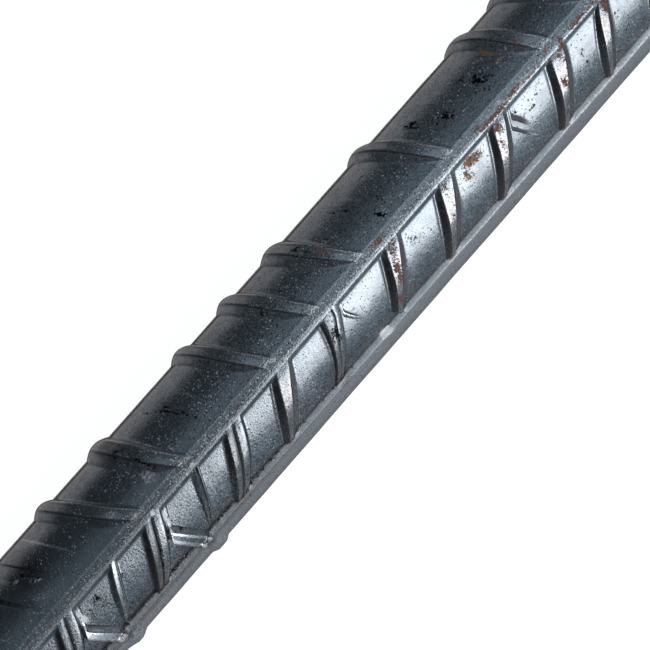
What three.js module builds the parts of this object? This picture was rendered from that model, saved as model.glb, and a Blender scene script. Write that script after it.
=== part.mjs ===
// A hot-rolled reinforcing bar lying on level ground. Millimetres, +Z up, the bar along X.
//
// The bar is one solid, rolled in one piece and sawn square at both ends: a round core with four
// lengthwise ribs. The slanting ribs between them are fine relief and aren't part of this solid.
//
// Places round the section are angles in degrees from straight up, growing towards -Y. The origin
// is on the ground, below the middle of the bar's box.
import * as THREE from "three";

// Driving dimensions.
const BAR_LENGTH = 1000;
const CORE_DIAMETER = 24.2;

// The lengthwise ribs: where each one's middle is, how wide its crest is and how far the middle of
// the crest stands off the core. The side land is broad, and its crest follows the core round. The
// other ribs are flat-topped, and the bar lies on the foot rib.
const TOP_RIB_ANGLE = 0;
const TOP_RIB_CREST = 2.2;
const TOP_RIB_HEIGHT = 0.75;

const SIDE_LAND_ANGLE = 78;
const SIDE_LAND_CREST = 9.4;
const SIDE_LAND_HEIGHT = 0.9;

const FOOT_RIB_ANGLE = 180;
const FOOT_RIB_CREST = 5;
const FOOT_RIB_HEIGHT = 1.05;

const BACK_RIB_ANGLE = 245.5;
const BACK_RIB_CREST = 3.3;
const BACK_RIB_HEIGHT = 0.8;

// How far a rib's flank reaches out along the core. The top rib rises from the +Y side in a long
// slope, and every other flank is steep.
const FLANK_RUN = 0.5;
const TOP_SLOPE_RUN = 3.5;

// An arc of the section is drawn in straight steps of at least this many degrees.
const ARC_STEP = 6;

const FULL_TURN = 360;
const coreRadius = CORE_DIAMETER / 2;

// The point of the section at an angle and a radius, with the section's x towards +Y.
function sectionPoint(angle, radius) {
  const turn = THREE.MathUtils.degToRad(angle);
  return new THREE.Vector2(-radius * Math.sin(turn), radius * Math.cos(turn));
}

// The points of an arc from one angle to a later one, both ends included.
function arcPoints(startAngle, endAngle, radius) {
  const steps = Math.max(1, Math.floor((endAngle - startAngle) / ARC_STEP));
  return Array.from({ length: steps + 1 }, (_, step) =>
    sectionPoint(startAngle + ((endAngle - startAngle) * step) / steps, radius));
}

// A lengthwise rib: the angles of its feet and the points along its crest.
function lengthwiseRib(angle, halfCrestAngle, crest, firstRun) {
  return {
    footStart: angle - halfCrestAngle - THREE.MathUtils.radToDeg(firstRun / coreRadius),
    footEnd: angle + halfCrestAngle + THREE.MathUtils.radToDeg(FLANK_RUN / coreRadius),
    crest,
  };
}

// A rib whose crest is one straight line of the section.
function flatRib(angle, crestWidth, height, firstRun = FLANK_RUN) {
  const middle = coreRadius + height;
  const halfAngle = THREE.MathUtils.radToDeg(Math.atan2(crestWidth / 2, middle));
  const edge = Math.hypot(crestWidth / 2, middle);
  const crest = [sectionPoint(angle - halfAngle, edge), sectionPoint(angle + halfAngle, edge)];
  return lengthwiseRib(angle, halfAngle, crest, firstRun);
}

// A broad rib whose crest follows the core round.
function roundLand(angle, crestWidth, height) {
  const crestRadius = coreRadius + height;
  const halfAngle = THREE.MathUtils.radToDeg(crestWidth / 2 / crestRadius);
  const crest = arcPoints(angle - halfAngle, angle + halfAngle, crestRadius);
  return lengthwiseRib(angle, halfAngle, crest, FLANK_RUN);
}

// The whole outline of the section: each rib's crest, then the core as far as the next rib.
function sectionOutline(ribs) {
  const points = [];
  ribs.forEach((rib, index) => {
    const isLast = index === ribs.length - 1;
    const nextFoot = isLast ? ribs[0].footStart + FULL_TURN : ribs[index + 1].footStart;
    points.push(...rib.crest, ...arcPoints(rib.footEnd, nextFoot, coreRadius));
  });
  return points;
}

const steel = new THREE.MeshStandardMaterial({ color: 0x5c666f, roughness: 0.5, metalness: 0.8 });

const outline = sectionOutline([
  flatRib(TOP_RIB_ANGLE, TOP_RIB_CREST, TOP_RIB_HEIGHT, TOP_SLOPE_RUN),
  roundLand(SIDE_LAND_ANGLE, SIDE_LAND_CREST, SIDE_LAND_HEIGHT),
  flatRib(FOOT_RIB_ANGLE, FOOT_RIB_CREST, FOOT_RIB_HEIGHT),
  flatRib(BACK_RIB_ANGLE, BACK_RIB_CREST, BACK_RIB_HEIGHT),
]);
const sectionBox = new THREE.Box2().setFromPoints(outline);

// The section is drawn in its own plane, swept along its normal and then laid down, so that the
// sweep runs along X, the section's x along Y and its y along Z.
const bar = new THREE.Mesh(
  new THREE.ExtrudeGeometry(new THREE.Shape(outline), { depth: BAR_LENGTH, bevelEnabled: false }),
  steel,
);
bar.name = "bar";
bar.setRotationFromMatrix(new THREE.Matrix4().makeBasis(
  new THREE.Vector3(0, 1, 0),
  new THREE.Vector3(0, 0, 1),
  new THREE.Vector3(1, 0, 0),
));
bar.position.set(
  -BAR_LENGTH / 2,
  -(sectionBox.min.x + sectionBox.max.x) / 2,
  -sectionBox.min.y,
);

const group = new THREE.Group();
group.add(bar);

export default group;
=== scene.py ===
"""A hot-rolled reinforcing bar on a pale studio floor.

The bar's skin is one closed mesh: a round core with four lengthwise ribs and, between them, rows of
slanting ribs. It is worked out in millimetres and written in metres. Angles round the section are in
degrees from straight up, growing towards -Y.
"""

import logging
import math
import random
from collections.abc import Callable, Sequence
from dataclasses import dataclass, field, replace
from enum import Enum

import bmesh
import bpy
import numpy as np
from mathutils import Matrix, Vector, noise


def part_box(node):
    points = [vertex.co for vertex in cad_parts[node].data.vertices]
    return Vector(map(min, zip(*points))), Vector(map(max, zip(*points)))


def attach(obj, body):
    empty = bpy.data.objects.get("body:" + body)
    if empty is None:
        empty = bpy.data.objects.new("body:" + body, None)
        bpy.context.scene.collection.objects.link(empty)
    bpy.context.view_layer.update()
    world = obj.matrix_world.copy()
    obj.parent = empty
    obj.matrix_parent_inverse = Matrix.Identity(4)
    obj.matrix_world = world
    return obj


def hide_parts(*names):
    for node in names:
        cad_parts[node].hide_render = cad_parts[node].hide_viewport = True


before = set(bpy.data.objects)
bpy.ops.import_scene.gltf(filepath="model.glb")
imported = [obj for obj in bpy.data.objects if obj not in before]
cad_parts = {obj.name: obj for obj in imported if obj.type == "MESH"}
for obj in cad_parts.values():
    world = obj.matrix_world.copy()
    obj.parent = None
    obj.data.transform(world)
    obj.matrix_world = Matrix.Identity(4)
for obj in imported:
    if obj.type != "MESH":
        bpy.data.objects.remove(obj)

LOG = logging.getLogger("reinforcing_bar")
MM = 0.001
SEED = 25
HALF_TURN = 180
FULL_TURN = 2 * HALF_TURN

Triple = tuple[float, float, float]
Colour = tuple[float, float, float, float]


def wrapped(angles: np.ndarray) -> np.ndarray:
    """Returns angles in degrees, carried into the half turns on both sides of 0."""
    return (angles + HALF_TURN) % FULL_TURN - HALF_TURN


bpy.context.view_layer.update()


# The section


@dataclass(frozen=True)
class LengthRib:
    """One of the ribs that run along the bar.

    Attributes:
        angle: Where the middle of its crest is, in degrees.
        crest: The width of its crest, in mm.
        height: How far the middle of its crest stands off the core, in mm.
        flat: Whether its crest is flat, or follows the core round.
    """

    angle: float
    crest: float
    height: float
    flat: bool = True


@dataclass(frozen=True)
class Section:
    """The bar's section without its slanting ribs.

    Attributes:
        core_radius: The radius of the round core, in mm.
        flank_run: How far a lengthwise rib's flank reaches out along the core, in mm.
        top, land, foot, back: The four lengthwise ribs.
        top_shape: The top rib's section: degrees towards -Y, a height in mm and a shade, as a Profile's.
            Its shades paint highlights and shade along the top rib.
        edge_shade: Painted shades beyond the top rib: degrees towards -Y and the shade there. They paint
            shade along the +Y outline, at the land's foot and on its rim, and a highlight on its chamfer.
    """

    core_radius: float = 12.1
    flank_run: float = 0.5
    top: LengthRib = LengthRib(angle=0, crest=2.2, height=0.75)
    land: LengthRib = LengthRib(angle=78, crest=9.4, height=0.9, flat=False)
    foot: LengthRib = LengthRib(angle=180, crest=5, height=1.05)
    back: LengthRib = LengthRib(angle=245.5, crest=3.3, height=0.8)
    # The shades paint light on the +Y slope and a light line at -6, and darken the crest's middle, 2.4 to
    # 3.2 and the -Y foot.
    top_shape: tuple[Triple, ...] = (
        (-30, 0, 0), (-24, 0.05, -0.08), (-18, 0.16, -0.12), (-13, 0.31, -0.1), (-9, 0.49, -0.1),
        (-7, 0.61, -0.15), (-6, 0.675, -0.5), (-5.3, 0.7, -0.25), (-4.6, 0.71, -0.15), (-3, 0.72, -0.1),
        (-1.2, 0.74, -0.15), (-0.4, 0.74, 0.25), (0.2, 0.75, -0.1), (1.4, 0.75, -0.1), (2.4, 0.75, 0.2),
        (3.2, 0.74, 0.18), (4.2, 0.69, 0), (4.9, 0.56, 0.12), (6.2, 0.25, 0.25), (7.4, 0, 0.25), (9, 0, 0),
    )
    # Painted shade along the +Y outline, at the land's foot and on its rim; a painted highlight on the
    # land's chamfer and edge.
    edge_shade: tuple[tuple[float, float], ...] = (
        (-104, 1), (-80, 1), (-75, 0), (53.4, 0), (54.2, 0.15), (54.9, 0.75), (55.9, -0.5), (57, -0.2),
        (58, -0.2), (59.5, -0.1), (61.5, 0), (78, 0), (84, 0.3), (92, 0.4),
    )

    def half_crest(self, rib: LengthRib) -> float:
        """Returns half the angle that a rib's crest spans.

        Args:
            rib: One of the lengthwise ribs.

        Returns:
            Half the angle, in degrees.
        """
        middle = self.core_radius + rib.height
        half = rib.crest / 2
        return math.degrees(math.atan2(half, middle) if rib.flat else half / middle)

    def half_foot(self, rib: LengthRib) -> float:
        """Returns half the angle between a rib's two feet, in degrees."""
        return self.half_crest(rib) + math.degrees(self.flank_run / self.core_radius)

    def radius(self, angles: np.ndarray) -> np.ndarray:
        """Returns the section's radius at some angles.

        Args:
            angles: Degrees round the section.

        Returns:
            The radius at each angle, in mm.
        """
        result = np.full(angles.shape, self.core_radius)
        steps, heights, _ = zip(*self.top_shape)
        result += np.interp(wrapped(angles), steps, heights)
        for rib in (self.land, self.foot, self.back):
            away = np.abs(wrapped(angles - rib.angle))
            middle = self.core_radius + rib.height
            half_crest = self.half_crest(rib)
            on_crest = np.minimum(away, half_crest)
            crest = middle / np.cos(np.radians(on_crest)) if rib.flat else np.full(angles.shape, middle)
            fall = np.clip((away - half_crest) / (self.half_foot(rib) - half_crest), 0, 1)
            result = np.maximum(result, crest + (self.core_radius - crest) * fall)
        return result

    def shades(self, angles: np.ndarray) -> np.ndarray:
        """Returns the section's shade at some angles.

        Args:
            angles: Degrees round the section.

        Returns:
            The shade at each angle, from 1 where the colour is darkened, in seams and as painted shade,
            to -1 where a highlight is painted.
        """
        from_top = wrapped(angles)
        steps, _, shades = zip(*self.top_shape)
        over_top = np.interp(from_top, steps, shades)
        return over_top + np.interp(from_top, *zip(*self.edge_shade), left=0, right=0)


SECTION = Section()


# The slanting ribs


@dataclass(frozen=True)
class SlantRib:
    """A slanting rib, given at the near, middle and far station of its sector.

    Attributes:
        foot: How far along the bar its -X foot lies, in mm.
        width: Its width along the bar from foot to foot, in mm.
        height: How far its crest stands off the core, in mm.
        fine: Whether it is modelled with fine steps, or plainly.
        stations: Its own stations, where they aren't those of its sector.
        shape: Its own shape, where it isn't that of its sector.
        over_land: Where it runs on over the land: its -X foot, its width and how far it stands off the land.
    """

    foot: Triple
    width: Triple
    height: Triple
    fine: bool = True
    stations: Triple | None = None
    shape: "Profile | None" = None
    over_land: Triple | None = None


@dataclass(frozen=True)
class Profile:
    """The shape of a slanting rib from its -X foot to its +X foot.

    Attributes:
        flank_share: The share of its width that the -X flank has, at the rib's three stations.
        crest_share: The share that the crest has. The +X flank has the rest.
        flank: Steps up the -X flank: a share of the way, a share of the height and a shade, which is
        1 where the colour is darkened, 0 where the scale is plain and -1 where it is lightened. The
        darkening marks cracks and seams, and is painted shade on flanks and at feet turned away from
        the lamps; the lightening is painted highlights along edges, partly on worn metal. A low rib's
        shades are weakened with its height, so they are given stronger.
        crest: Steps over the crest, in the same way.
        back: Steps down the +X flank, in the same way.
        wear: How far its crest is worn bright, from 0 to 1.
    """

    flank_share: Triple
    crest_share: Triple
    flank: tuple[Triple, ...]
    crest: tuple[Triple, ...]
    back: tuple[Triple, ...]
    wear: float = 0.0

    def knots(self, flank_share: float, crest_share: float) -> tuple[np.ndarray, np.ndarray, np.ndarray]:
        """Returns the steps from foot to foot.

        Args:
            flank_share: The share of the rib's width that the -X flank has.
            crest_share: The share that the crest has.

        Returns:
            The steps' places and heights, as shares of the whole rib's, and their shades.
        """
        parts = (
            (self.flank, 0.0, flank_share),
            (self.crest, flank_share, crest_share),
            (self.back, flank_share + crest_share, 1 - flank_share - crest_share),
        )
        steps = [
            (begin + width * share, up, seam_and_shade)
            for part, begin, width in parts
            for share, up, seam_and_shade in part
        ]
        return tuple(np.array(column) for column in zip(*steps))


# Shades above 0 darken seams and cracks and paint shade on flanks and feet turned away from the lamps;
# shades below 0 paint highlights along edges.
BACK_PROFILE = Profile(
    flank_share=(0.34, 0.32, 0.32),
    crest_share=(0.46, 0.46, 0.44),
    flank=(
        (0, 0, 0.5), (0.07, 0.1, 0.45), (0.3, 0.25, 0.1), (0.6, 0.47, 0), (0.84, 0.62, 0.3),
        (0.95, 0.82, 1), (1, 1, 0.5),
    ),
    crest=(
        (0.1, 1.01, -0.1), (0.3, 0.97, 0), (0.6, 0.96, 0), (0.8, 0.98, 0.4), (0.92, 1.04, -0.5),
        (1, 1.02, 0),
    ),
    back=((0.12, 0.9, 0.5), (0.4, 0.42, 0.6), (0.7, 0.12, 0.2), (1, 0, 0)),
    wear=0.15,
)
FRONT_PROFILE = Profile(
    flank_share=(0.28, 0.32, 0.31),
    crest_share=(0.53, 0.31, 0.18),
    flank=(
        (0, 0, 0.5), (0.08, 0.05, 0.3), (0.16, 0.06, -0.1), (0.28, 0.07, -0.5), (0.36, 0.16, 0.9),
        (0.7, 0.62, 0.9), (0.95, 0.97, 0.85), (1, 1, 0),
    ),
    crest=((0.08, 1.01, -0.2), (0.3, 1.0, 0), (0.6, 0.99, 0), (0.92, 1.0, -0.1), (1, 0.98, 0.8)),
    back=(
        (0.08, 0.86, 0.7), (0.3, 0.62, 0.15), (0.6, 0.34, 0.2), (0.86, 0.1, 0.4), (0.95, 0.03, -0.6),
        (1, 0, -0.1),
    ),
    wear=1.0,
)
SPLIT_PROFILE = Profile(
    flank_share=(0.2, 0.2, 0.18),
    crest_share=(0.67, 0.64, 0.54),
    flank=(
        (0, 0, 0.4), (0.1, 0.04, 0.1), (0.2, 0.06, -0.3), (0.28, 0.14, 0.85), (0.65, 0.6, 0.9),
        (0.94, 0.97, 0.85), (1, 1, 0),
    ),
    crest=(
        (0.05, 1.01, -0.05), (0.2, 0.99, 0.15), (0.37, 0.96, 0.3), (0.41, 0.78, 1), (0.46, 0.78, 1),
        (0.5, 0.97, -0.25), (0.62, 0.97, -0.1), (0.8, 0.96, 0), (0.95, 0.93, -0.1), (1, 0.88, 0.7),
    ),
    back=(
        (0.12, 0.78, 0.8), (0.28, 0.62, -0.1), (0.5, 0.4, 0), (0.78, 0.12, 0), (0.9, 0.04, -0.55),
        (1, 0, -0.1),
    ),
    wear=0.5,
)
WORN_PROFILE = Profile(
    flank_share=(0.13, 0.15, 0.06),
    crest_share=(0.55, 0.39, 0.44),
    flank=(
        (0, 0, 0.4), (0.12, 0.03, 0.1), (0.5, 0.05, -0.1), (0.84, 0.09, -0.25), (0.94, 0.18, 0.5),
        (1, 0.4, 0.9),
    ),
    crest=(
        (0.05, 0.62, 0.8), (0.12, 0.9, 0.2), (0.3, 1.0, -0.05), (0.6, 1.0, 0), (0.88, 0.95, 0),
        (0.94, 0.84, 0.9), (1, 0.84, 0.9),
    ),
    back=(
        (0.06, 0.97, 0), (0.2, 0.97, -0.2), (0.5, 0.8, -0.1), (0.8, 0.4, 0), (0.92, 0.1, -0.4), (1, 0, 0),
    ),
    wear=1.0,
)
FIN_PROFILE = Profile(
    flank_share=(0.36, 0.34, 0.4),
    crest_share=(0.4, 0.4, 0.35),
    flank=((0, 0, 0), (0.2, 0.2, 0.6), (0.6, 0.66, 0.8), (0.9, 0.97, 0.7), (1, 1, 0)),
    crest=((0.15, 1.0, -0.4), (0.5, 0.93, -0.6), (0.85, 0.84, -0.3), (1, 0.78, 0.8)),
    back=((0.15, 0.7, 1), (0.35, 0.68, -0.7), (0.6, 0.5, -0.8), (0.85, 0.1, 0.2), (1, 0, 0)),
    wear=0.3,
)
LIP_PROFILE = Profile(
    flank_share=(0.5, 0.14, 0.1),
    crest_share=(0.28, 0.6, 0.5),
    flank=((0, 0, 0), (0.4, 0.3, -0.5), (0.9, 0.8, -0.4), (1, 0.85, 0.5)),
    crest=((0.12, 0.5, 1), (0.5, 0.35, 1), (0.9, 0.4, 1), (1, 0.6, 0.5)),
    back=((0.15, 0.8, -0.6), (0.5, 0.6, -0.8), (0.9, 0.1, 0), (1, 0, 0)),
)
STROKE_PROFILE = Profile(
    flank_share=(0.3, 0.3, 0.3),
    crest_share=(0.4, 0.4, 0.4),
    flank=((0, 0, 0), (0.5, 0.5, 2), (1, 1, 4.5)),
    crest=((1, 1, 4.5),),
    back=((0.5, 0.5, 2), (1, 0, 0)),
)
SLIVER_PROFILE = Profile(
    flank_share=(0.5, 0.5, 0.5),
    crest_share=(0.12, 0.12, 0.12),
    flank=((0, 0, 2), (0.25, 0.2, 0), (0.4, 0.4, -5), (1, 1, -5)),
    crest=((1, 1, -3),),
    back=((0.15, 0.8, 5), (0.5, 0.3, 3), (1, 0, 0)),
)
CROSS_PROFILE = Profile(
    flank_share=(0.06, 0.06, 0.06),
    crest_share=(0.5, 0.6, 0.76),
    flank=((0, 0, 0.4), (0.5, 0.5, 0.3), (1, 0.96, -0.6)),
    crest=(
        (0.05, 1.0, -1), (0.18, 0.96, -1), (0.32, 0.91, -1), (0.4, 0.9, -0.1), (0.76, 0.9, -0.1),
        (0.83, 0.88, -1), (1, 0.81, -1),
    ),
    back=(
        (0.08, 0.76, 0.5), (0.4, 0.46, 0.5), (0.75, 0.12, 0.55), (0.84, 0.06, 1), (0.94, 0.01, 0.9),
        (1, 0, 0),
    ),
    wear=0.2,
)
BROAD_PROFILE = replace(
    CROSS_PROFILE,
    crest_share=(0.48, 0.52, 0.62),
    crest=(
        (0.08, 1.0, -1), (0.3, 0.95, -1), (0.6, 0.9, -1), (0.84, 0.85, -1), (0.92, 0.82, -0.9),
        (1, 0.76, 0.3),
    ),
    back=(
        (0.08, 0.7, 0.9), (0.2, 0.6, 0.2), (0.5, 0.36, 0.5), (0.7, 0.16, 0.6), (0.82, 0.06, 1),
        (0.94, 0.01, 0.9), (1, 0, 0),
    ),
)
GHOST_PROFILE = Profile(
    flank_share=(0.12, 0.1, 0.1),
    crest_share=(0.76, 0.8, 0.8),
    flank=((0, 0, 0), (0.3, 0.5, 11), (0.7, 0.9, 11), (1, 1, 0)),
    crest=((0.5, 1, 0), (1, 1, 0)),
    back=((0.3, 0.7, -5), (0.7, 0.3, -5), (1, 0, 0)),
)
DARK_GHOST_PROFILE = Profile(
    flank_share=(0.22, 0.26, 0.3),
    crest_share=(0.5, 0.5, 0.5),
    flank=((0, 0, -0.5), (0.16, 0.1, 2.4), (0.8, 0.9, 2.6), (1, 1, 0)),
    crest=((0.5, 1, 0), (1, 1, 0)),
    back=((0.5, 0.5, 0), (1, 0, 0)),
)
PLAIN_PROFILE = Profile(
    flank_share=(0.28, 0.28, 0.28),
    crest_share=(0.5, 0.48, 0.46),
    flank=((0, 0, 0.3), (1, 1, 0.2)),
    crest=((0.5, 1.0, 0), (1, 1.0, 0)),
    back=((1, 0, 0),),
    wear=0.4,
)
FINE_HOLLOW = (0.05, 0.14, 0.27, 0.42, 0.58, 0.73, 0.86, 0.95)
PLAIN_HOLLOW = (0.5,)
# The least width of a slanting rib, in mm.
LEAST_WIDTH = 0.4
# How many degrees a slanting rib takes to spread out over the land, and the share of them that it waits.
SPREAD_RUN, SPREAD_DELAY = 14, 0.2
# How far under the plain section a slanting rib's shades have faded out, and how far over it the
# section's own shades are hidden, in mm.
BLEND_HEIGHT, HIDING_HEIGHT = 0.06, 0.1
# How many degrees from straight up worn crests begin, and how many more they take to be fully worn.
WORN_FROM, WORN_RUN = 8, 10


def at_stations(stations: Triple, values: Triple, places: np.ndarray) -> np.ndarray:
    """Draws a smooth curve through three values and runs it on straight past both ends.

    Args:
        stations: Where the three values are, in rising order.
        values: The three values.
        places: Where the curve is wanted.

    Returns:
        The curve's value at each place.
    """
    near, middle, far = stations
    first_slope = (values[1] - values[0]) / (middle - near)
    second_slope = (values[2] - values[1]) / (far - middle)
    bend = (second_slope - first_slope) / (far - near)
    inside = np.clip(places, near, far)
    curve = values[0] + first_slope * (inside - near) + bend * (inside - near) * (inside - middle)
    slope = first_slope + bend * (2 * inside - near - middle)
    return curve + slope * (places - inside)


# The sectors of the skin


@dataclass(frozen=True)
class Drift:
    """How far the top rib wanders round the bar from straight above its axis.

    Attributes:
        middle: The angle that it wanders about, in degrees.
        swing: How far it wanders to each side, in degrees.
        wave: The length of one wave along the bar, in mm.
        start: Where a wave starts, in mm.
        near: How far from the rib the skin still moves with it, in degrees.
        far: How far from the rib the skin stays still, in degrees.
    """

    middle: float = 1.4
    swing: float = 2.3
    wave: float = 290
    start: float = -12
    near: float = 8
    far: float = 50

    def turn(self, angles: np.ndarray, along: np.ndarray) -> np.ndarray:
        """Returns how far the skin is turned.

        Args:
            angles: Degrees round the section.
            along: Millimetres along the bar.

        Returns:
            The turn at each place, in degrees.
        """
        wander = self.middle - self.swing * np.sin(2 * math.pi * (along - self.start) / self.wave)
        away = np.abs(wrapped(angles))
        return wander * np.clip((self.far - away) / (self.far - self.near), 0, 1)


DRIFT = Drift()


@dataclass
class Patch:
    """A patch of skin as rows and columns of points.

    Attributes:
        along: How far along the bar each point is, in mm.
        angle: Where it is round the section, in degrees.
        side: How far it is round the core from the top rib, in mm, towards -Y.
        radius: How far it is from the axis, in mm.
        lay: How far along the bar it would be if the slanting ribs ran straight round, in mm.
        crest: How far it is a worn crest, from 0 to 1.
        shade: From 1 where the colour is darkened, in seams and as painted shade, to -1 where a
        highlight is painted.
    """

    along: np.ndarray
    angle: np.ndarray
    side: np.ndarray
    radius: np.ndarray
    lay: np.ndarray
    crest: np.ndarray
    shade: np.ndarray


@dataclass
class Columns:
    """The columns of a sector, added rib by rib along the bar.

    Attributes:
        rounding: How far the slanting ribs are rounded off at each row, from 0 to 1.
        depth: How strong their shades are at each row, from 0 to 1.
        least_hollow: The least width of a hollow, in mm.
        least_step: The least width of a step over a rib, in mm.
        bow_power: How full a rounded rib is: less is fuller.
        crest_from: The share of its height from which a rib is crest.
        shade_for_mm: How strong a rib's shades are for each mm of its height.
        added: Each column's places along the bar, heights over the core, lay, crest and shade.
        last_shift: How far the last rib's foot is from where its first row has it, for each row, in mm.
    """

    rounding: np.ndarray
    depth: np.ndarray
    least_hollow: float = 0.2
    least_step: float = 0.05
    bow_power: float = 0.9
    crest_from: float = 0.94
    shade_for_mm: float = 1.2
    added: list[tuple[np.ndarray, ...]] = field(default_factory=list)
    last_shift: np.ndarray | None = None

    def add(
        self, foot: np.ndarray, width: np.ndarray, height: np.ndarray,
        knots: list[tuple[np.ndarray, np.ndarray, np.ndarray]], hollow: tuple[float, ...], wear: float,
    ) -> None:
        """Adds the hollow before a slanting rib, and the rib.

        Args:
            foot: Where its -X foot is along the bar, for each row.
            width: Its width along the bar.
            height: Its height.
            knots: The places, heights and shades of its steps, for each row.
            hollow: Shares of the way over the hollow before it, where it has columns.
            wear: How far its crest is worn bright.
        """
        shift = foot - foot[0]
        nothing = np.zeros(foot.shape)
        begin = foot
        if self.added:
            last = self.added[-1][0]
            begin = np.maximum(foot, last + self.least_hollow)
            for share in hollow:
                along = last + (begin - last) * share
                lay = along - self.last_shift - (shift - self.last_shift) * share
                self.added.append((along, nothing, lay, nothing, nothing))
        standing = np.clip(height * self.shade_for_mm, 0, 1)
        for step, seam_and_shade in enumerate(knots[0][2]):
            place = np.array([places[step] for places, _, _ in knots])
            along = np.maximum(foot + width * place, begin + self.least_step * step)
            share = (along - foot) / width
            flat = np.array([np.interp(at, *knot[:2], right=0) for at, knot in zip(share, knots)])
            bow = np.sin(math.pi * np.clip(share, 0, 1)) ** self.bow_power
            self.added.append((
                along,
                height * (flat + (bow - flat) * self.rounding),
                along - shift,
                standing * (flat > self.crest_from) * wear,
                standing * seam_and_shade * self.depth,
            ))
        self.last_shift = shift


@dataclass
class Sector:
    """A stretch of skin from the crest of one lengthwise rib to the crest of the next.

    Attributes:
        way: 1 if its rows run from up towards -Y, or -1.
        rows: How many degrees from straight up its rows are.
        stations: The three rows at which its slanting ribs are given.
        shape: The shape of its slanting ribs.
        ends: Row and height pairs that hold the slanting ribs down at the lengthwise ribs.
        rounding: Row and share pairs that say how far the slanting ribs are rounded off.
        depth: Row and share pairs that say how strong the slanting ribs' shades are.
        ribs: Its slanting ribs, in order along the bar.
    """

    way: int
    rows: np.ndarray
    stations: Triple
    shape: Profile
    ends: tuple[tuple[float, float], ...]
    ribs: list[SlantRib]
    rounding: tuple[tuple[float, float], ...] = ((0, 0),)
    depth: tuple[tuple[float, float], ...] = ((0, 1),)

    def heights(self, rib: SlantRib, places: np.ndarray) -> np.ndarray:
        """Returns how far a rib's crest stands off the core.

        Args:
            rib: The slanting rib.
            places: Degrees from straight up, one for each row.

        Returns:
            Its height at each row, in mm.
        """
        held = np.interp(self.rows, *zip(*self.ends))
        height = np.minimum(np.interp(places, rib.stations or self.stations, rib.height), held)
        if rib.over_land:
            over = SECTION.land.height + rib.over_land[2]
            steps = (
                (LAND_FOOT - 1, rib.height[2]), (LAND_EDGE + 0.5, over),
                (self.rows[-3], over), (self.rows[-1], 0),
            )
            height = np.where(self.rows > steps[0][0], np.interp(self.rows, *zip(*steps)), height)
        return height

    def add_rib(self, columns: Columns, rib: SlantRib) -> None:
        """Adds a slanting rib to the sector's columns, with the hollow before it.

        Args:
            columns: The sector's columns.
            rib: The slanting rib.
        """
        stations = rib.stations or self.stations
        shape = (rib.shape or self.shape) if rib.fine else PLAIN_PROFILE
        at_foot = np.full(self.rows.shape, rib.foot[0])
        turned = self.rows + self.way * DRIFT.turn(self.way * self.rows, at_foot)
        inside = np.clip(turned, stations[0], stations[2])
        foot = at_stations(stations, rib.foot, turned)
        width = np.maximum(at_stations(stations, rib.width, inside), LEAST_WIDTH)
        if rib.over_land:
            spread_out = np.clip((turned - stations[2]) / SPREAD_RUN - SPREAD_DELAY, 0, 1)
            held = at_stations(stations, rib.foot, inside)
            foot = np.where(turned > stations[2], held + (rib.over_land[0] - held) * spread_out, foot)
            width = width + (rib.over_land[1] - width) * spread_out
        shares = [at_stations(stations, part, inside) for part in (shape.flank_share, shape.crest_share)]
        columns.add(
            foot=foot,
            width=width,
            height=self.heights(rib, turned),
            knots=[shape.knots(flank, crest) for flank, crest in zip(*shares)],
            hollow=FINE_HOLLOW if rib.fine else PLAIN_HOLLOW,
            wear=shape.wear,
        )

    def patch(self) -> Patch:
        """Works out the points of the sector.

        Returns:
            The sector's patch, row by row from straight up.
        """
        columns = Columns(*(np.interp(self.rows, *zip(*pairs)) for pairs in (self.rounding, self.depth)))
        for rib in self.ribs:
            self.add_rib(columns, rib)
        along, rise, lay, crest, shade = np.array(columns.added).transpose(1, 2, 0)
        nominal = np.broadcast_to(self.way * self.rows[:, None], along.shape)
        plain = SECTION.radius(nominal)
        ribbed = SECTION.core_radius + rise
        clear = np.clip((ribbed - plain) / BLEND_HEIGHT + 1, 0, 1)
        off_top = np.clip((self.rows[:, None] - WORN_FROM) / WORN_RUN, 0, 1)
        between = SECTION.shades(nominal) * (ribbed < plain + HIDING_HEIGHT)
        return Patch(
            along=along,
            angle=nominal + DRIFT.turn(nominal, along),
            side=nominal * math.radians(SECTION.core_radius),
            radius=np.maximum(plain, ribbed),
            lay=lay,
            crest=crest * clear * off_top,
            shade=np.clip(shade * clear + between, -1, 1),
        )


def spread(first: float, *stretches: tuple[float, int]) -> np.ndarray:
    """Joins evenly stepped stretches of rows.

    Args:
        first: The first row.
        stretches: The last row of each stretch, and how many steps it has.

    Returns:
        All the rows, in order.
    """
    rows = [np.array([first])]
    for last, steps in stretches:
        rows.append(np.linspace(rows[-1][-1], last, steps + 1)[1:])
    return np.concatenate(rows)


HALF_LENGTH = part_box("bar")[1].x / MM
OVERRUN = 14
# How far from a sawn end's plane a point still counts as cut, and as on its rim, in metres.
CUT_SLACK, RIM_SLACK = 1e-7, 1e-6
CLOSE_STRETCH = (-92, 82)
# How far a plain slanting rib strays along the bar, in mm, and between what shares its width is.
STRAY, GROWTH = 0.35, (0.92, 1.08)
LAND_FOOT = SECTION.land.angle - SECTION.half_foot(SECTION.land)
LAND_EDGE = SECTION.land.angle - SECTION.half_crest(SECTION.land)
LAND_END_EDGE = SECTION.land.angle + SECTION.half_crest(SECTION.land)
LAND_END_FOOT = SECTION.land.angle + SECTION.half_foot(SECTION.land)
FOOT_EDGE = SECTION.half_crest(SECTION.foot)
FOOT_FOOT = SECTION.half_foot(SECTION.foot)
BACK_EDGE = SECTION.half_crest(SECTION.back)
BACK_FOOT = SECTION.half_foot(SECTION.back)
BACK_AWAY = FULL_TURN - SECTION.back.angle


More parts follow.
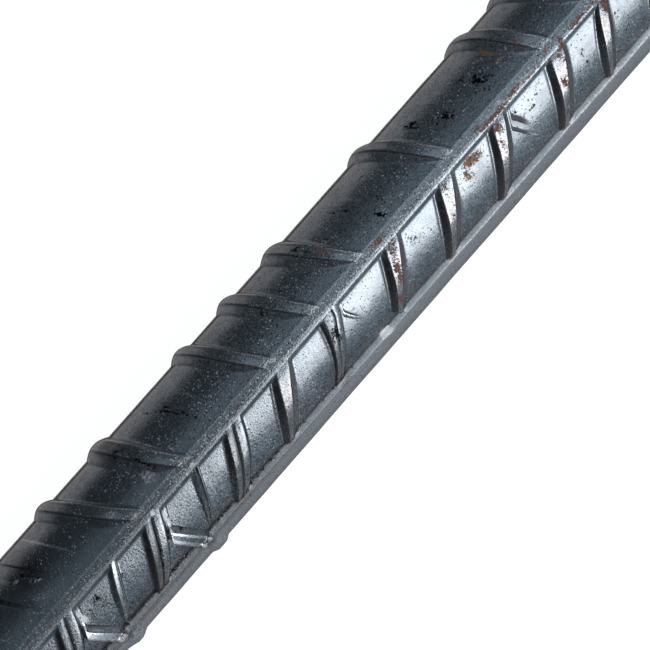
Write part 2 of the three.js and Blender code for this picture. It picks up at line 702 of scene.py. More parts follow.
def ribs_beyond(ribs: Sequence[SlantRib], pattern: SlantRib, pitch: float, seed: int) -> list[SlantRib]:
    """Runs a row of slanting ribs on to both ends of the bar.

    Args:
        ribs: The ribs that are given one by one, in order along the bar.
        pattern: A rib of the plain row, with its foot's near station at 0.
        pitch: How far apart the plain ribs are, in mm.
        seed: The seed for their small differences.

    Returns:
        All the ribs, in order along the bar.
    """
    draw = random.Random(seed)
    reach = HALF_LENGTH + OVERRUN

    def plain(place: float) -> SlantRib:
        """Places a plain rib, a little off its place.

        Args:
            place: Where its foot's near station is along the bar, in mm.

        Returns:
            The rib.
        """
        place += draw.uniform(-STRAY, STRAY)
        grow = draw.uniform(*GROWTH)
        return SlantRib(
            foot=tuple(place + value for value in pattern.foot),
            width=tuple(value * grow for value in pattern.width),
            height=pattern.height,
            fine=CLOSE_STRETCH[0] < place < CLOSE_STRETCH[1],
        )

    first = ribs[0].foot[0] if ribs else 0.0
    last = ribs[-1].foot[0] if ribs else -pitch
    before = [plain(first - pitch * step) for step in range(1, int((first + reach) / pitch) + 1)]
    after = [plain(last + pitch * step) for step in range(1, int((reach - last) / pitch) + 1)]
    return before[::-1] + list(ribs) + after


FULL = (1.0, 1.2, 1.2)


def back_sector() -> Sector:
    """Returns the sector from the top rib to the back rib, on the +Y side."""
    ghost = (0.07, 0.07, 0.05)
    ribs = [
        SlantRib((-81.5, -85.5, -87.5), (4.6, 4.8, 4.8), (0.0, 0.0, 0.05)),
        SlantRib((-70.0, -74.0, -75.6), (4.4, 4.4, 4.6), (0.3, 0.35, 0.3), shape=DARK_GHOST_PROFILE),
        SlantRib((-62.3, -67.2, -68.9), (4.7, 5.7, 5.7), ghost, shape=GHOST_PROFILE),
        SlantRib((-52.6, -57.7, -59.6), (5.2, 4.9, 4.9), FULL),
        SlantRib((-41.1, -45.7, -46.9), (5.0, 6.0, 5.8), FULL),
        SlantRib((-29.3, -33.4, -35.0), (4.6, 4.6, 4.6), ghost),
        SlantRib((-19.9, -24.0, -25.8), (4.7, 4.5, 4.6), FULL),
        SlantRib((-8.6, -13.1, -14.7), (4.6, 5.0, 4.8), FULL),
        SlantRib((2.9, -2.3, -3.8), (4.3, 5.6, 5.8), FULL),
        SlantRib((14.5, 9.8, 7.6), (3.6, 3.0, 2.6), ghost),
        SlantRib((25.4, 21.0, 18.9), (4.8, 4.8, 4.6), FULL),
        SlantRib((36.5, 32.1, 29.6), (4.6, 4.6, 4.6), ghost),
        SlantRib((49.7, 46.0, 44.0), (5.4, 4.8, 4.8), FULL),
        SlantRib((61.0, 57.0, 55.0), (5.0, 5.0, 5.0), FULL),
    ]
    pattern = SlantRib((0, -4.4, -6.0), (4.9, 5.0, 4.9), FULL)
    back_foot = BACK_AWAY - BACK_FOOT
    return Sector(
        way=-1,
        rows=spread(
            0.4, (1.2, 1), (3, 1), (4.6, 1), (5.3, 1), (6, 1), (7, 1), (9, 1), (76, 26), (90, 7),
            (back_foot, 3), (BACK_AWAY - BACK_EDGE, 2), (BACK_AWAY - 1, 2),
        ),
        stations=(10, 51, 86),
        shape=BACK_PROFILE,
        ends=(
            (0, 0), (4.2, 0.75), (9, 0.9), (16, 1.2), (24, 2), (back_foot - 8, 2), (back_foot, 0.9),
            (BACK_AWAY, 0),
        ),
        rounding=((46, 0), (74, 1)),
        depth=((9, 0), (15, 1), (46, 1), (74, 0.5)),
        ribs=ribs_beyond(ribs, pattern, 11.3, SEED),
    )


def front_sector() -> Sector:
    """Returns the sector from the top rib to the land, on the -Y side."""
    full = (0.8, 1.1, 0.9)
    ribs = [
        SlantRib((-82.6, -85.2, -87.6), (5.1, 5.1, 3.6), full),
        SlantRib((-70.7, -73.0, -75.3), (5.1, 5.2, 3.4), full, shape=SPLIT_PROFILE),
        SlantRib((-69.9, -66.9, -64.5), (3.0, 3.1, 2.9), (0.9, 0.85, 0.9),
                 stations=(20, 42, 62), shape=BROAD_PROFILE, over_land=(-65.6, 6.4, 0.65)),
        SlantRib((-57.9, -60.5, -62.2), (2.2, 2.3, 0.9), (0.75, 0.6, 0.2), shape=FIN_PROFILE),
        SlantRib((-50.1, -52.7, -55.2), (5.2, 5.2, 4.0), full, shape=SPLIT_PROFILE),
        SlantRib((-49.3, -46.8, -44.5), (3.3, 3.4, 2.9), (0.9, 0.9, 0.95),
                 stations=(20, 42, 62), shape=CROSS_PROFILE, over_land=(-45.3, 6.2, 0.7)),
        SlantRib((-37.9, -39.8, -41.7), (1.9, 1.6, 0.8), (0.75, 0.5, 0.15), shape=LIP_PROFILE),
        SlantRib((-30.5, -33.3, -36.1), (5.1, 5.4, 4.4), full, shape=SPLIT_PROFILE),
        SlantRib((-18.9, -21.7, -24.0), (5.5, 5.5, 4.2), full),
        SlantRib((-6.8, -8.4, -10.9), (5.1, 3.8, 2.5), (0.75, 0.6, 0.35), shape=WORN_PROFILE),
        SlantRib((-2.6, -1.9, -0.6), (1.2, 1.1, 0.7), (0.17, 0.17, 0.0),
                 stations=(14, 21, 29), shape=SLIVER_PROFILE),
        SlantRib((8.1, 5.6, 2.8), (5.5, 5.2, 4.3), full),
        SlantRib((21.5, 18.9, 16.4), (5.5, 5.5, 4.2), full),
        SlantRib((35.0, 32.4, 29.5), (5.1, 5.1, 4.3), full),
        SlantRib((39.0, 40.3, 42.0), (0.8, 0.7, 0.4), (0.12, 0.12, 0.02),
                 stations=(19, 29, 42), shape=STROKE_PROFILE),
        SlantRib((39.9, 41.1, 41.7), (1.0, 1.0, 0.6), (0.12, 0.12, 0.0),
                 stations=(11, 21, 27), shape=STROKE_PROFILE),
        SlantRib((49.7, 47.5, 45.2), (5.7, 5.4, 4.4), full),
        SlantRib((62.0, 58.9, 57.2), (3.8, 4.6, 3.4), full),
    ]
    pattern = SlantRib((0, -2.7, -5.3), (5.4, 5.3, 4.2), full)
    return Sector(
        way=1,
        rows=spread(
            0.2, (1.4, 1), (2.4, 1), (3.2, 1), (4.2, 1), (4.9, 1), (6.2, 1), (7.4, 1), (9, 1), (53.4, 23),
            (54.2, 1), (LAND_FOOT, 1), (LAND_EDGE - 0.3, 2), (LAND_EDGE + 0.6, 2), (92, 9),
        ),
        stations=(11, 30, 53),
        shape=FRONT_PROFILE,
        ends=((0, 0), (4.6, 0.7), (9, 0.8), (16, 2), (44, 2), (LAND_FOOT, 0.75), (LAND_EDGE, 0.6), (92, 0)),
        rounding=((LAND_EDGE, 0), (LAND_EDGE + 12, 1)),
        depth=((20, 1), (50, 0.7), (LAND_FOOT, 0.6), (LAND_EDGE, 0.3), (LAND_EDGE + 1, 0)),
        ribs=ribs_beyond(ribs, pattern, 12.0, SEED + 1),
    )


def under_sector() -> Sector:
    """Returns the sector from the land to the foot rib."""
    foot = SECTION.foot.angle
    pattern = SlantRib((0, 4.2, 6.4), (5.0, 5.0, 4.6), (1.0, 1.1, 1.0))
    return Sector(
        way=1,
        rows=spread(
            94.5, (LAND_END_EDGE, 1), (LAND_END_FOOT, 1), (foot - FOOT_FOOT, 8), (foot - FOOT_EDGE, 1),
            (foot - 1.5, 1),
        ),
        stations=(LAND_END_FOOT, 134, foot - FOOT_FOOT),
        shape=PLAIN_PROFILE,
        ends=((94.5, 0), (LAND_END_EDGE, 0.8), (LAND_END_FOOT + 8, 2), (foot - FOOT_FOOT - 8, 2),
              (foot - FOOT_EDGE, 0.8), (foot, 0)),
        ribs=ribs_beyond([], pattern, 12.0, SEED + 2),
    )


def rear_sector() -> Sector:
    """Returns the sector from the foot rib to the back rib."""
    foot, back = SECTION.foot.angle, SECTION.back.angle
    pattern = SlantRib((0, -2.4, -4.6), (5.0, 5.0, 4.6), (1.0, 1.1, 1.0))
    return Sector(
        way=1,
        rows=spread(
            foot + 1.5, (foot + FOOT_EDGE, 1), (foot + FOOT_FOOT, 1), (back - BACK_FOOT, 6),
            (back - BACK_EDGE, 1), (back - 1, 1),
        ),
        stations=(foot + FOOT_FOOT, 213, back - BACK_FOOT),
        shape=PLAIN_PROFILE,
        ends=((foot, 0), (foot + FOOT_EDGE, 0.8), (foot + FOOT_FOOT + 6, 2), (back - BACK_FOOT - 6, 2),
              (back - BACK_EDGE, 0.7), (back, 0)),
        ribs=ribs_beyond([], pattern, 12.0, SEED + 3),
    )


# Rust and scale marks, with painted glints and painted shade


class MarkKind(Enum):
    """What a mark on the skin is, as the name of the attribute that holds it."""

    RUST = "rust"
    OCHRE = "ochre"
    BLACK = "black_scale"
    BARE_AND_GLINT = "bright"
    GRIME_AND_SHADE = "grime_and_shade"


# Where a mark ends, as a share of its oval. It starts to fade at 1 less than that.
MARK_REACH = 1.6
# Between what a scattered mark's angle, length, breadth, strength and lean are.
SCATTER = ((0, FULL_TURN), (2, 6), (1.5, 4), (0.4, 0.9), (-0.5, 0.5))


@dataclass(frozen=True)
class Mark:
    """An oval patch of rust, black scale, bright metal and painted glints, or grime and painted shade.

    Attributes:
        kind: What it is.
        along: The middle of the patch along the bar, in mm.
        angle: The middle of the patch round the section, in degrees.
        length: How long it is along the bar, in mm.
        breadth: How broad it is round the section, in mm.
        strength: How thick it is, from 0 to 1.
        lean: How far it leans towards +X for each mm round the section.
    """

    kind: MarkKind
    along: float
    angle: float
    length: float
    breadth: float
    strength: float
    lean: float = 0.0

    def cover(self, along: np.ndarray, angle: np.ndarray) -> np.ndarray:
        """Returns how thickly the mark covers some points.

        Args:
            along: Millimetres along the bar.
            angle: Degrees round the section.

        Returns:
            The cover at each point, from 0 to 1.
        """
        over = np.radians(wrapped(angle - self.angle)) * SECTION.core_radius
        on = along - self.along - self.lean * over
        away = np.sqrt((on / self.length * 2) ** 2 + (over / self.breadth * 2) ** 2)
        return self.strength * np.clip(MARK_REACH - away, 0, 1)


def marks_of(kind: MarkKind, *rows: tuple[float, ...]) -> list[Mark]:
    """Returns marks of one kind, each given by the rest of what Mark says."""
    return [Mark(kind, *row) for row in rows]


MARKS = (
    *marks_of(
        MarkKind.RUST,
        # On the top rib.
        (38.7, 1.6, 7, 0.7, 0.85), (43.8, 0, 3, 0.7, 0.8), (35, -1.7, 1.8, 0.9, 0.65),
        (10.7, -2, 3, 1.1, 0.75), (52.6, -2.2, 0.8, 0.7, 0.8), (55.4, 1.5, 1.2, 1.2, 0.75),
        (59.8, 0.8, 4, 0.7, 0.75), (48, 1.6, 5, 0.5, 0.5), (64, 1.5, 3, 0.6, 0.6),
        (-70, 4.5, 1.4, 0.4, 0.9), (55, 5, 1.2, 1.4, 0.8),
        # On the -Y side.
        (11.5, 7, 1.2, 1.2, 0.65), (10.8, 11, 1.3, 1.8, 0.65, -0.5), (9.4, 22, 1.2, 1.8, 0.9, -0.4),
        (8.6, 29, 1.3, 1.6, 0.75, -0.4), (6.4, 41, 1.1, 1.5, 0.85), (24.2, 8, 1.4, 1.6, 0.45),
        (37.6, 9, 1.8, 1.8, 0.6), (36.2, 20, 1, 2, 0.4), (22, 34, 0.7, 3, 0.55), (53.6, 10, 0.8, 1.8, 0.8),
        (51, 25, 1, 1.8, 0.8), (65, 8, 1.3, 2.2, 0.9, -0.4), (64.2, 15, 0.8, 1.2, 0.5),
        (14.8, 19.5, 1.2, 1.8, 0.4),
        # On the +Y side.
        (3.2, -29, 0.8, 2, 0.95, 0.2), (50.6, -23, 1, 1.8, 0.45), (27.5, -26, 1, 1.6, 0.35),
    ),
    *marks_of(
        MarkKind.OCHRE,
        # On the -Y side.
        (31, 11, 3.4, 1.6, 0.85, 0.5), (28.6, 17, 1.3, 1.8, 0.7),
        # On the +Y side.
        (46.6, -38, 0.6, 4, 0.9, 0.22), (46.9, -24.5, 0.8, 0.7, 0.9),
    ),
    *marks_of(
        MarkKind.BLACK,
        # On the -Y side.
        (-50.6, 33, 0.35, 6, 0.8, -0.675), (-62.1, 17, 0.9, 1.3, 1.0), (-62.8, 24, 0.8, 1, 0.6),
        (46.6, 15, 0.9, 1.2, 0.7), (44.4, 20, 1.2, 0.6, 0.5), (41.6, 11, 1.2, 0.8, 0.5),
        (23.8, 14, 0.6, 0.6, 0.8), (14.6, 18, 0.7, 0.5, 0.5), (66, 21, 0.5, 0.6, 0.8),
        (66, 35, 0.6, 1.6, 0.6), (56.6, 22, 0.6, 5, 0.5, -0.2), (-5.0, 21, 0.7, 3, 0.5, -0.5),
        (-5.2, 20, 0.7, 3.4, 0.85, -0.45), (-6.3, 21, 0.5, 2.4, 0.8, -0.6), (-45.2, 31, 1.2, 0.5, 0.6),
        (-57, 20, 1, 0.8, 0.5),
        # Along the land's edge.
        (-48, 55, 80, 0.35, 0.4),
        # On the +Y side.
        (-41.6, -40, 0.5, 2.2, 0.9, -0.24), (-41.4, -26.5, 0.45, 3.4, 0.9, 0.22),
        (-40.3, -11.5, 0.45, 2.8, 0.85, 0.55), (-41.0, -19.5, 0.4, 4, 0.75, 0.42),
        (-34.0, -52, 0.45, 2.6, 0.65, 0.7), (-32.5, -40, 0.5, 3.4, 0.9, 0.45),
        (-30.9, -23.5, 0.45, 4, 0.75, 0.49), (41.8, -29, 2, 3.2, 0.8), (34, -27.5, 2.2, 2.4, 0.8),
        (-66.6, -39, 2.6, 2.2, 0.6), (-64.6, -37, 1.6, 1.8, 0.6), (-68.8, -41, 1.4, 1.4, 0.6),
        (-66.4, -28, 1.6, 1.2, 0.65), (-43, -46, 1.6, 1.4, 0.7), (-32.3, -43, 1.8, 1, 0.6),
        (0.9, -46, 1.2, 1.2, 0.9), (1.8, -37, 0.8, 1.4, 0.7), (11.3, -37, 0.5, 1.8, 1.0, 0.15),
        (9.8, -46, 0.4, 3, 0.7, 0.25), (14.1, -14, 0.9, 1.8, 1.0, 0.3), (16, -26, 1.2, 1.1, 0.7),
        (15.4, -41, 0.7, 0.7, 0.6), (18, -50, 0.7, 0.6, 0.7), (29.4, -46, 1.6, 3, 0.85, 0.3),
        (31.5, -34, 1, 2.4, 0.65, 0.3), (34.6, -28, 1.2, 2, 0.6), (42, -45.5, 0.8, 1.3, 0.85),
        (43.4, -25, 0.9, 1.8, 0.75), (41.2, -28, 1, 1.9, 0.9), (40.2, -20, 0.8, 1, 0.8),
        (41.4, -15.5, 0.7, 0.8, 0.8), (40, -40, 0.9, 1.6, 0.6), (-6, -36, 0.6, 0.8, 0.7),
        (-10.5, -33, 1.2, 1.6, 0.5), (-31, -28, 0.8, 1, 0.5), (5.4, -36, 0.8, 0.8, 0.6),
    ),
    *marks_of(
        MarkKind.BARE_AND_GLINT,
        # Light patches, partly bare metal and mostly painted highlights: stripes along the top rib, broad
        # patches in the -Y hollows where the side lamp's highlight falls, a band along the land's edge and
        # glints.
        # On the top rib.
        (43, 0.5, 18, 2, 0.42), (-36, 0.5, 14, 2, 0.3), (-46.2, 6, 1, 0.8, 0.8), (-36.3, 4.6, 1, 0.6, 0.7),
        (14.6, 0, 2, 0.8, 0.4), (-15.2, -1, 2, 0.8, 0.5),
        # On the -Y side.
        (41.4, 36, 0.8, 2.4, 0.45, 0.6), (-35, 31, 6, 9, 0.34), (-24.6, 31, 6, 9, 0.24),
        (56, 31, 3.4, 9, 0.3), (43.6, 32, 4, 9, 0.24), (-65.1, 50, 1.0, 3.6, 0.5, 0.5),
        (-45.4, 17, 0.9, 2.6, 0.9, -0.2), (-65.8, 19, 0.9, 2.8, 0.9, 0.1),
        (-47.3, 34.5, 0.8, 2.6, 0.8, 0.54),
        # Along the land's edge: a painted highlight band towards +X, and small glints.
        (62, 57, 44, 0.5, 0.55), (28, 57, 34, 0.4, 0.48), (-63.6, 57, 0.3, 1.2, 0.6, -0.9),
        (1.0, 56.6, 2.6, 1.1, 1.2),
        # On the +Y side.
        (-42.4, -14, 2.4, 3, 0.5), (-41.4, -22, 1.6, 3, 0.42), (-68.6, -39.7, 1.2, 1.2, 0.75),
        (-66.6, -28.5, 1.4, 1.2, 0.65), (-66, -25, 0.9, 0.8, 0.7), (-50.8, -16, 1.6, 1.8, 0.5),
    ),
    *marks_of(
        MarkKind.GRIME_AND_SHADE,
        # Soft dark films, partly dirt and mostly painted shade: they darken the -X stretch of the top rib
        # and of the land's edge, where less light falls, and dim highlights on the top rib and at the
        # slanting ribs' ends.
        # On the top rib.
        (-42, 1, 62, 5, 0.4), (-36, 3, 44, 0.9, 0.6), (-38, -2, 3.4, 1.8, 0.6), (-49.2, -3, 2.4, 1.4, 0.6),
        # On the -Y side.
        (-50.9, 30, 0.9, 5, 0.5, -0.675), (-5.6, 17, 1.2, 2, 0.45, -0.5), (-5.6, 14, 3, 2.4, 0.45, -0.4),
        (-1.0, 20, 0.6, 3.4, 0.8, 0.55), (40.8, 18, 1.6, 3, 0.5, 0.5), (-62, 20, 1.6, 3, 0.5),
        # Along the land's edge: painted shade towards -X, and dark spots at the slanting ribs' ends.
        (-52, 56.5, 60, 1.8, 0.85), (-64, 56.6, 40, 2, 0.9), (-52.4, 55.5, 2.4, 1.4, 0.95),
        (-33.4, 55.5, 2.2, 1.4, 0.95), (-9.4, 55.5, 2.4, 1.4, 0.95),
        # On the +Y side.
        (-66.4, -38, 6, 4, 0.85), (-68.6, -41, 3, 3, 0.8), (-64.4, -44, 2, 5, 0.6),
        (-43.4, -56, 3.6, 4, 0.7),
    ),
)


def marks_beyond(count: int, clear: tuple[float, float]) -> list[Mark]:
    """Scatters marks over the rest of the bar.

    Args:
        count: How many marks there are.
        clear: The stretch along the bar that gets none, in mm.

    Returns:
        The marks.
    """
    draw = random.Random(SEED + 4)
    marks = []
    while len(marks) < count:
        along = draw.uniform(-HALF_LENGTH, HALF_LENGTH)
        kind = draw.choice((MarkKind.RUST, MarkKind.BLACK))
        mark = Mark(kind, along, *(draw.uniform(*span) for span in SCATTER))
        if not clear[0] < along < clear[1]:
            marks.append(mark)
    return marks


# The bar


@dataclass(frozen=True)
class Swell:
    """One size of the skin's gentle unevenness.

    Attributes:
        size: How far apart its swells are, in mm.
        height: How high they are, in mm.
    """

    size: float
    height: float


@dataclass
class Skin:
    """The bar's skin, as it is collected.

    Attributes:
        points: Its points, in mm.
        faces: The numbers of each face's points.
        values: Its attributes.
        count: How many points it has.
    """

    points: list[np.ndarray] = field(default_factory=list)
    faces: list[tuple[int, ...]] = field(default_factory=list)
    values: dict[str, list[np.ndarray]] = field(default_factory=dict)
    count: int = 0

    def add(self, points: np.ndarray, values: dict[str, np.ndarray]) -> np.ndarray:
        """Adds a grid of points.

        Args:
            points: The points, by row and column.
            values: The attributes of the same points.

        Returns:
            The number of each point in the mesh, by row and column.
        """
        rows, columns = points.shape[:2]
        numbers = np.arange(rows * columns).reshape(rows, columns) + self.count
        self.count += rows * columns
        self.points.append(points.reshape(-1, 3))
        for name, value in values.items():
            self.values.setdefault(name, []).append(value.reshape(-1))
        return numbers

    def cover(self, numbers: np.ndarray) -> None:
        """Covers a grid of points with four-sided faces. Its rows run from up towards -Y."""
        corners_of = (numbers[:-1, :-1], numbers[1:, :-1], numbers[1:, 1:], numbers[:-1, 1:])
        self.faces.extend(map(tuple, np.stack(corners_of, -1).reshape(-1, 4).tolist()))

    def close(self, low: np.ndarray, high: np.ndarray, along: np.ndarray) -> None:
        """Joins two neighbouring rows of points whose columns don't match.

        Args:
            low: The row nearer to straight up, going towards -Y.
            high: The row after it.
            along: Where every point of the mesh is along the bar.
        """
        i, j = 0, 0
        while i < len(low) - 1 or j < len(high) - 1:
            next_low = along[low[i + 1]] if i < len(low) - 1 else math.inf
            next_high = along[high[j + 1]] if j < len(high) - 1 else math.inf
            if next_low <= next_high:
                self.faces.append((int(low[i]), int(high[j]), int(low[i + 1])))
                i += 1
            else:
                self.faces.append((int(low[i]), int(high[j]), int(high[j + 1])))
                j += 1


@dataclass
class Bar:
    """The bar: its skin and its two sawn ends.

    Attributes:
        swells: The gentle unevenness of the skin.
        chamfer: The width of the broken edge round a sawn end, in mm.
        scattered: How many marks there are outside the stretch that has its own.
    """

    swells: tuple[Swell, ...] = (Swell(11, 0.05), Swell(4, 0.03))
    chamfer: float = 0.3
    scattered: int = 150

    def axis(self) -> tuple[float, float]:
        """Returns the Y and Z of the bar's axis, in mm."""
        low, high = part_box("bar")
        return (
            low.y / MM + SECTION.core_radius + SECTION.land.height,
            high.z / MM - SECTION.core_radius - SECTION.top.height,
        )

    def points_of(self, patch: Patch) -> np.ndarray:
        """Works out where a patch's points are, with the skin's unevenness.

        Args:
            patch: The patch.

        Returns:
            Its points in mm, by row and column.
        """
        axis_y, axis_z = self.axis()
        turn = np.radians(patch.angle)

        def place(radius: np.ndarray) -> np.ndarray:
            """Returns the patch's points at some radii, by row and column."""
            points = (patch.along, axis_y - radius * np.sin(turn), axis_z + radius * np.cos(turn))
            return np.stack(points, -1)

        smooth = place(patch.radius).reshape(-1, 3)
        rise = np.zeros(len(smooth))
        for swell in self.swells:
            rise += swell.height * np.array([noise.noise(Vector(point) / swell.size) for point in smooth])
        return place(patch.radius + rise.reshape(patch.radius.shape) * self.free(patch))

    def free(self, patch: Patch) -> np.ndarray:
        """Returns where a patch may swell: everywhere but on the foot rib that it lies on."""
        away = np.abs(wrapped(patch.angle - SECTION.foot.angle))
        return np.clip((away - FOOT_EDGE) / FOOT_EDGE, 0, 1)

    def skin(self) -> Skin:
        """Builds the skin, from the top rib round by -Y and back to it.

        Returns:
            The skin, which runs past both ends of the bar.
        """
        skin = Skin()
        marks = [*MARKS, *marks_beyond(self.scattered, CLOSE_STRETCH)]
        bands = []
        for sector in (front_sector(), under_sector(), rear_sector(), back_sector()):
            patch = sector.patch()
            values = {name: getattr(patch, name) for name in ("crest", "lay", "shade", "side")}
            for kind in MarkKind:
                covers = [mark.cover(patch.along, patch.angle) for mark in marks if mark.kind is kind]
                values[kind.value] = np.max(covers, axis=0)
            numbers = skin.add(self.points_of(patch), values)
            bands.append(numbers if sector.way > 0 else numbers[::-1])
            skin.cover(bands[-1])
        along = np.concatenate(skin.points)[:, 0]
        for band, following in zip(bands, bands[1:] + bands[:1]):
            skin.close(band[-1], following[0], along)
        return skin

    def build(self, finishes: Sequence[bpy.types.Material]) -> bpy.types.Object:
        """Builds the bar.

        Args:
            finishes: The finish of the skin and the finish of the sawn ends.

        Returns:
            The bar's object.
        """
        skin = self.skin()
        mesh = bpy.data.meshes.new("bar_skin")
        mesh.from_pydata((np.concatenate(skin.points) * MM).tolist(), [], skin.faces)
        for name, parts in skin.values.items():
            layer = mesh.attributes.new(name, "FLOAT", "POINT")
            layer.data.foreach_set("value", np.concatenate(parts).astype(np.float32))
        shape = bmesh.new()
        shape.from_mesh(mesh)
        for end in (-1, 1):
            self.saw(shape, end)
        for face in shape.faces:
            face.smooth = face.material_index == 0
        for edge in shape.edges:
            edge.smooth = len({face.material_index for face in edge.link_faces}) < 2
        shape.to_mesh(mesh)
        shape.free()
        for finish in finishes:
            mesh.materials.append(finish)
        piece = bpy.data.objects.new("ribbed_bar", mesh)
        bpy.context.scene.collection.objects.link(piece)
        triangles = sum(len(face.vertices) - 2 for face in mesh.polygons)
        LOG.info("ribbed_bar: %d points, %d triangles", len(mesh.vertices), triangles)
        return piece

    def saw(self, shape: bmesh.types.BMesh, end: int) -> None:
        """Saws the skin off square at one end and closes it.

        Args:
            shape: The bar's skin.
            end: 1 for the +X end, or -1.
        """
        axis_y, axis_z = self.axis()
        cut = end * (HALF_LENGTH - self.chamfer) * MM
        bmesh.ops.bisect_plane(
            shape, geom=[*shape.verts, *shape.edges, *shape.faces], plane_co=(cut, 0, 0),
            plane_no=(end, 0, 0), clear_outer=True, dist=CUT_SLACK,
        )
        centre = Vector((end * HALF_LENGTH * MM, axis_y * MM, axis_z * MM))
        rim = [vertex for vertex in shape.verts if vertex.is_boundary and abs(vertex.co.x - cut) < RIM_SLACK]
        rim.sort(key=lambda vertex: math.atan2(vertex.co.y - centre.y, vertex.co.z - centre.z) * end)
        face_rim = []
        for vertex in rim:
            inward = Vector((centre.x, vertex.co.y, vertex.co.z)) - centre
            face_rim.append(shape.verts.new(centre + inward * (1 - self.chamfer * MM / inward.length)))
        middle = shape.verts.new(centre)
        for index, vertex in enumerate(rim):
            following = (index + 1) % len(rim)
            inner = (face_rim[following], face_rim[index])
            for points in ((vertex, rim[following], *inner), (*inner[::-1], middle)):
                shape.faces.new(points).material_index = 1


# Finishes


def operation(name: str, turned: bool = False) -> Callable[..., "Value"]:
    """Returns a method that works out a sum in a node tree.

    Args:
        name: The sum, as a Math node calls it.
        turned: Whether the value itself comes second.

    Returns:
        The method.
    """

    def method(value: "Value", other: object = 0.0) -> "Value":
        """Adds the sum's node and returns its result."""
        first, second = (other, value) if turned else (value, other)
        return value.shader.math(name, first, second)

    return method


@dataclass(frozen=True)
class Value:
    """What a socket of a node tree gives. Sums made with it become nodes."""

    shader: "Shader"
    socket: bpy.types.NodeSocket

    __add__ = __radd__ = operation("ADD")
    __mul__ = __rmul__ = operation("MULTIPLY")
    __sub__, __rsub__ = operation("SUBTRACT"), operation("SUBTRACT", turned=True)
    __truediv__, __rtruediv__ = operation("DIVIDE"), operation("DIVIDE", turned=True)
    __pow__ = operation("POWER")
    __gt__ = operation("GREATER_THAN")
    __abs__ = operation("ABSOLUTE")

    def most(self, *others: object) -> "Value":
        """Picks the largest of this and some other numbers.

        Args:
            others: The other numbers.

        Returns:
            The largest.
        """
        largest = self
        for other in others:
            largest = self.shader.math("MAXIMUM", largest, other)
        return largest

    def ramp(self, low: float, high: float, to_low: float = 0.0, to_high: float = 1.0) -> "Value":
        """Returns the number carried smoothly from one range to another."""
        inputs = {"Value": self, "From Min": low, "From Max": high, "To Min": to_low, "To Max": to_high}
        return self.shader.node("ShaderNodeMapRange", inputs, interpolation_type="SMOOTHSTEP")["Result"]

    def noise(self, scale: float, detail: float = 2.0, roughness: float = 0.5) -> "Value":
        """Returns a noise of about 0 to 1 over these places."""
        inputs = {"Vector": self, "Scale": scale, "Detail": detail, "Roughness": roughness}
        return self.shader.node("ShaderNodeTexNoise", inputs)["Fac"]

    def dots(self, spacing: float, size: float, share: float) -> "Value":
        """Returns small dots scattered over these places.

        Args:
            spacing: How far apart the dots could be, in mm.
            size: How large a dot is, in mm.
            share: How many of the possible dots there are, from 0 to 1.

        Returns:
            1 in a dot and 0 between them.
        """
        cells = self.shader.node("ShaderNodeTexVoronoi", {"Vector": self, "Scale": 1 / spacing})
        lot = self.shader.node("ShaderNodeSeparateColor", {0: cells["Color"]})[0]
        reach = size / spacing / 2
        return cells["Distance"].ramp(reach * 1.3, reach * 0.7) * lot.ramp(1 - share, 1 - share + 0.02)


@dataclass(frozen=True)
class Node:
    """A node in a node tree, whose outputs are asked for by name or number."""

    shader: "Shader"
    node: bpy.types.Node

    def __getitem__(self, name: int | str) -> Value:
        """Returns what one of the outputs gives."""
        return Value(self.shader, self.node.outputs[name])


class Shader:
    """A node tree, with short ways to add nodes to it."""

    def __init__(self, tree: bpy.types.NodeTree) -> None:
        """Keeps the tree."""
        self.tree = tree

    def feed(self, node: bpy.types.Node, inputs: dict[int | str, object]) -> None:
        """Fills some of a node's inputs.

        Args:
            node: The node.
            inputs: What each input is given: a number, a colour or what another node gives.
        """
        for name, value in inputs.items():
            if isinstance(value, Value):
                self.tree.links.new(value.socket, node.inputs[name])
            else:
                node.inputs[name].default_value = value

    def node(self, kind: str, inputs: dict[int | str, object] | None = None, **settings: object) -> Node:
        """Adds a node.

        Args:
            kind: The node's type.
            inputs: What some of its inputs are given.
            settings: The node's own settings.

        Returns:
            The node.
        """
        node = self.tree.nodes.new(kind)
        for name, value in settings.items():
            setattr(node, name, value)
        self.feed(node, inputs or {})
        return Node(self, node)

    def math(self, name: str, first: object, second: object = 0.0, clamp: bool = False) -> Value:
        """Returns the result of a sum on one or two numbers."""
        return self.node("ShaderNodeMath", {0: first, 1: second}, operation=name, use_clamp=clamp)[0]

    def mix(self, share: object, first: object, second: object) -> Value:
        """Returns a colour between two colours."""
        return self.node("ShaderNodeMix", {0: share, 6: first, 7: second}, data_type="RGBA")[2]

    def attribute(self, name: str) -> Value:
        """Returns one of the mesh's attributes."""
        return self.node("ShaderNodeAttribute", attribute_name=name, attribute_type="GEOMETRY")["Fac"]

    def places(self) -> Value:
        """Returns where the surface is, in mm."""
        inputs = {0: self.node("ShaderNodeTexCoord")["Object"], 1: (1 / MM,) * 3}
        return self.node("ShaderNodeVectorMath", inputs, operation="MULTIPLY")[0]

    def bump(self, height: Value, strength: float, distance: float) -> Value:
        """Returns the surface's direction when it has a relief, whose height is given in mm."""
        inputs = {"Strength": strength, "Distance": distance * MM, "Height": height}
        return self.node("ShaderNodeBump", inputs)[0]


def emptied(owner: bpy.types.Material | bpy.types.World) -> Shader:
    """Clears a material's or a world's node tree.

    Args:
        owner: The material or the world.

    Returns:
        Its node tree, without any nodes.
    """
    owner.use_nodes = True
    owner.node_tree.nodes.clear()
    return Shader(owner.node_tree)


